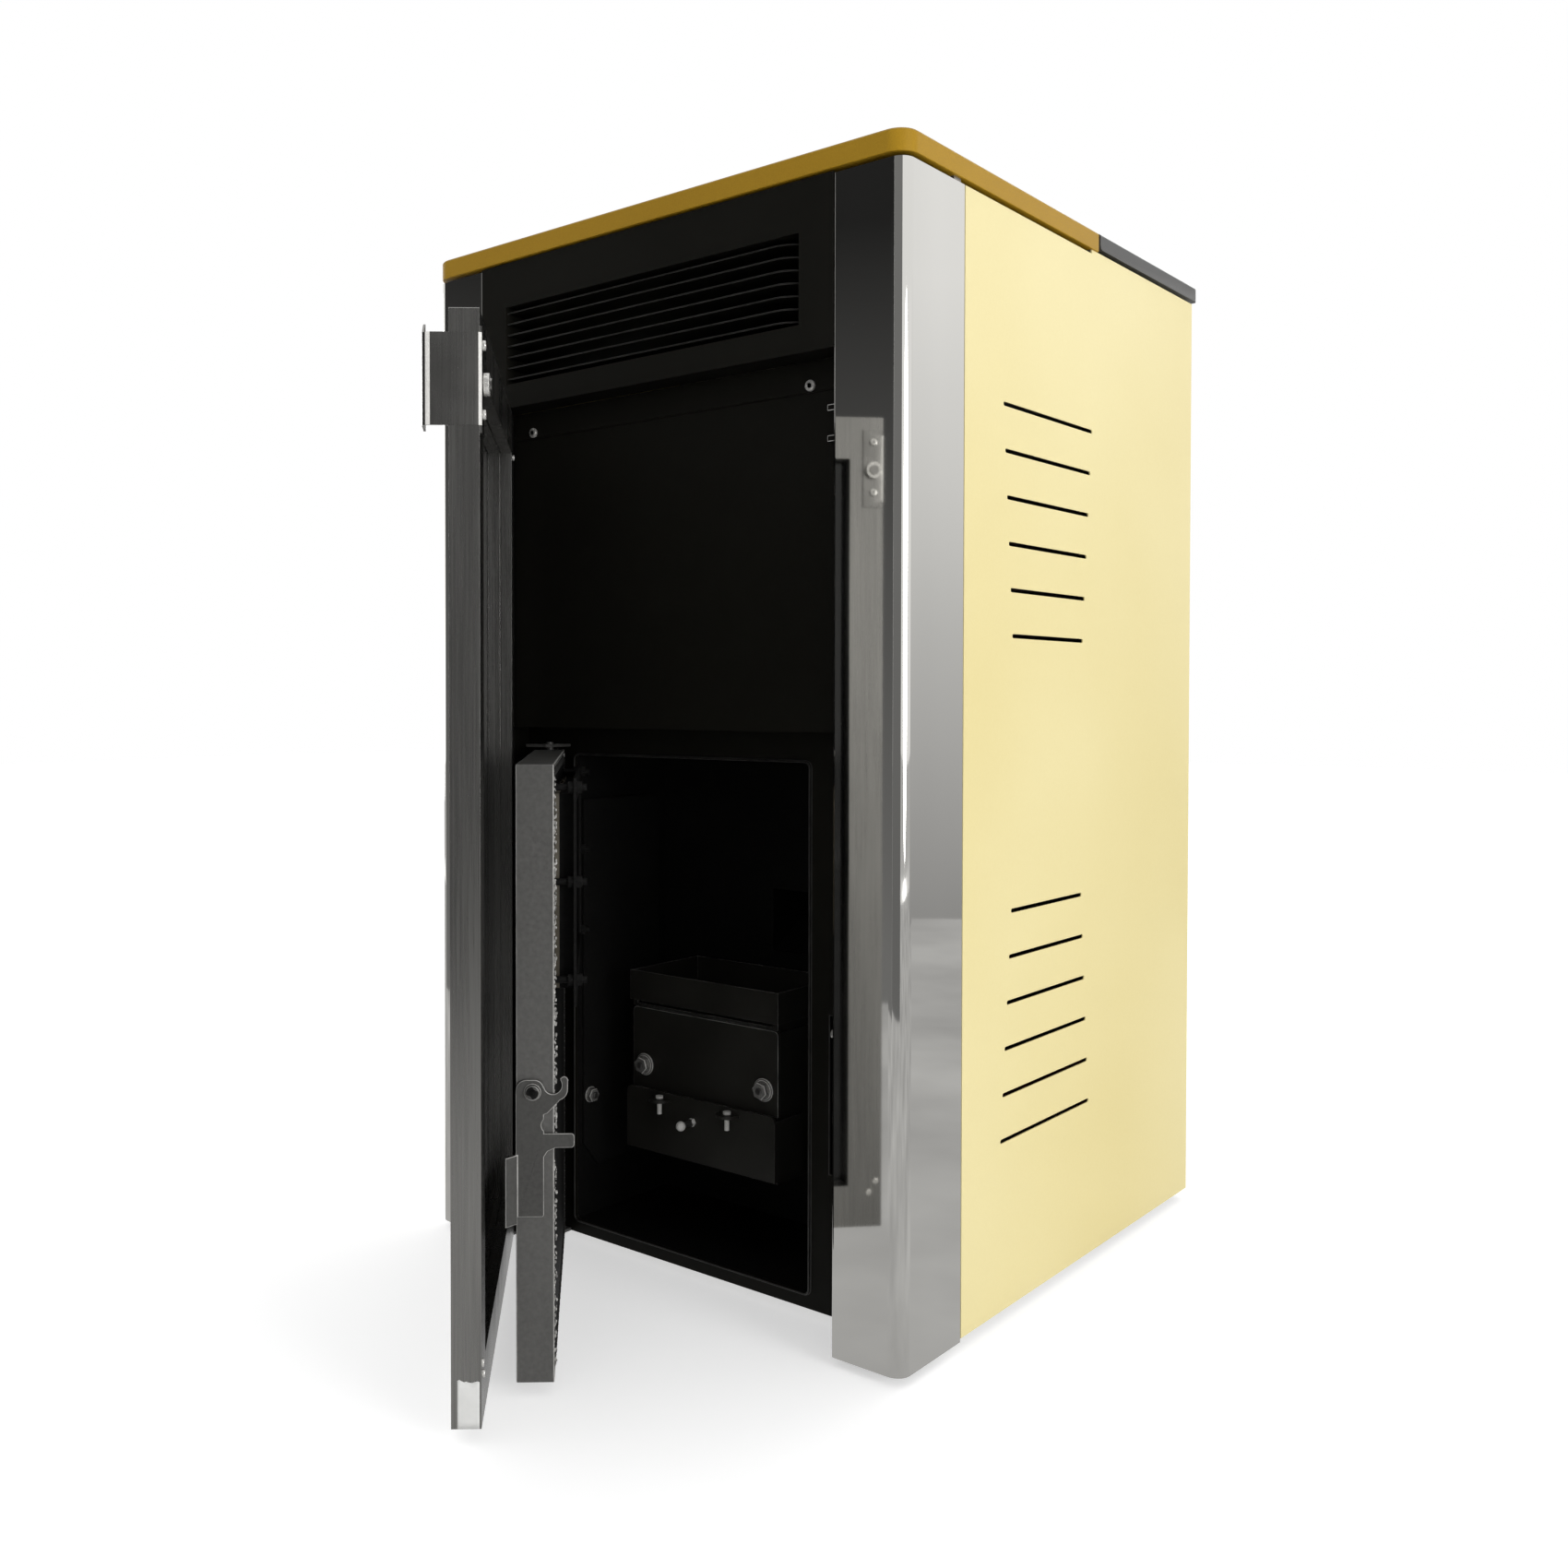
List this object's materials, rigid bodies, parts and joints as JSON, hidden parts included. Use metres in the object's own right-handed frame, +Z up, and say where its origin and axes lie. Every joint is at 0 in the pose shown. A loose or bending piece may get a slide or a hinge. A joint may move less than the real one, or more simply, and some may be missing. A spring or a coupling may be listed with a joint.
{
  "type": "hydronic pellet stove",
  "caption": "Upright hydronic pellet stove with a louvred top, side-hinged outer door over an insulated fire door, burner pot, hopper lid and rear flue, air and water connections.",
  "frame": {"origin": "on the floor, under the middle of the casing: halfway between the side panels, and halfway between the front of the posts and the rear edge of the side panels", "axes": "+X to the stove's right as its front is looked at, +Y from the front to the back, +Z up"},
  "size_m": [0.594, 0.9854, 1.066],
  "materials": {
    "ochre_enamel": "satin enamel",
    "cream_enamel": "gloss enamel",
    "polished_steel": "mirror polished",
    "black_paint": "fine textured black",
    "grey_enamel": "fine textured grey",
    "brushed_steel": "long brushed",
    "dark_glass": "black ceramic glass",
    "fire_glass": "ceramic glass",
    "door_steel": "dark bare steel",
    "liner_steel": "matt black",
    "rope": "woven glass rope",
    "zinc": "bright zinc",
    "furnace_steel": "matt heat-proof",
    "burner_iron": "raw cast",
    "plain_sheet": "galvanised",
    "copper": "drawn copper",
    "vessel_red": "red lacquer",
    "motor_grey": "satin",
    "black_plastic": "moulded",
    "switch_red": "moulded"
  },
  "bodies": {
    "stove": {"base_pan": "plain_sheet", "levelling_feet": "black_plastic", "inner_frame": "plain_sheet", "left_post": "polished_steel", "right_post": "polished_steel", "left_jamb": "black_paint", "right_jamb": "black_paint", "left_side_panel": "cream_enamel", "right_side_panel": "cream_enamel", "back_panel": "plain_sheet", "top_plate": "ochre_enamel", "control_display": "black_plastic", "louvre_panel": "black_paint", "louvre_slats": "black_paint", "cover_strip": "black_paint", "cover_plate": "black_paint", "cover_screws": "zinc", "front_frame": "black_paint", "door_catch": "black_paint", "latch_pin": "zinc", "hinge_lugs": "door_steel", "firebox": "furnace_steel", "water_jacket": "furnace_steel", "flue_tubes": "furnace_steel", "smoke_duct": "plain_sheet", "side_liners": "liner_steel", "hex_nuts": "zinc", "burner_support": "burner_iron", "burner_pot": "burner_iron", "burner_front": "burner_iron", "burner_flap": "burner_iron", "flap_pins": "zinc", "pellet_chute": "plain_sheet", "hopper": "plain_sheet", "hopper_grid": "zinc", "auger_tube": "plain_sheet", "auger_motor": "motor_grey", "fan_housing": "plain_sheet", "fan_motor": "motor_grey", "air_inlet": "plain_sheet", "circulation_pump": "vessel_red", "expansion_vessel": "vessel_red", "water_pipes": "copper", "lid_hinges": "zinc", "mains_socket": "black_plastic"},
    "outer_door": {"outer_door_frame": "brushed_steel", "outer_door_glass": "dark_glass", "door_handle": "brushed_steel"},
    "roller": {"door_roller": "zinc"},
    "fire_door": {"fire_door_shell": "door_steel", "fire_door_liner": "liner_steel", "fire_door_glass": "fire_glass", "glass_retainer": "furnace_steel", "door_rope": "rope", "latch_pivot": "zinc"},
    "latch": {"fire_latch": "door_steel"},
    "lid": {"hopper_lid": "grey_enamel"},
    "auger": {"auger_screw": "zinc"},
    "impeller": {"fan_impeller": "zinc"},
    "rocker": {"mains_switch": "switch_red"}
  },
  "joints": [
    {"name": "outer_door_hinge", "type": "hinge", "parent": "stove", "child": "outer_door", "pos_m": [-0.206, -0.308, 0.448], "axis": [0, 0, -1], "range_deg": [-47.3, 42.7]},
    {"name": "fire_door_hinge", "type": "hinge", "parent": "stove", "child": "fire_door", "pos_m": [-0.172, -0.27, 0.272], "axis": [0, 0, -1], "range_deg": [-47.3, 42.7]},
    {"name": "latch_turn", "type": "hinge", "parent": "fire_door", "child": "latch", "pos_m": [0.06938, -0.53453, 0.2586], "axis": [0.6782, -0.7349, 0], "range_deg": [0, 22]},
    {"name": "roller_spin", "type": "hinge", "parent": "outer_door", "child": "roller", "pos_m": [0.08825, -0.60225, 0.8326], "axis": [0.7349, 0.6782, 0], "continuous": true},
    {"name": "lid_hinge", "type": "hinge", "parent": "stove", "child": "lid", "pos_m": [0, 0.328, 1.044], "axis": [-1, 0, 0], "range_deg": [0, 75]},
    {"name": "auger_spin", "type": "hinge", "parent": "stove", "child": "auger", "pos_m": [0.0285, 0.2, 0.158], "axis": [0, -0.66, 0.7513], "continuous": true},
    {"name": "fan_spin", "type": "hinge", "parent": "stove", "child": "impeller", "pos_m": [-0.17, 0.21, 0.208], "axis": [1, 0, 0], "continuous": true},
    {"name": "rocker_tip", "type": "hinge", "parent": "stove", "child": "rocker", "pos_m": [0.15, 0.3192, 0.469], "axis": [1, 0, 0], "range_deg": [0, 12]}
  ],
  "couplings": [
    {"joint": "fire_door_hinge", "follows": "outer_door_hinge", "ratio": 1}
  ]
}
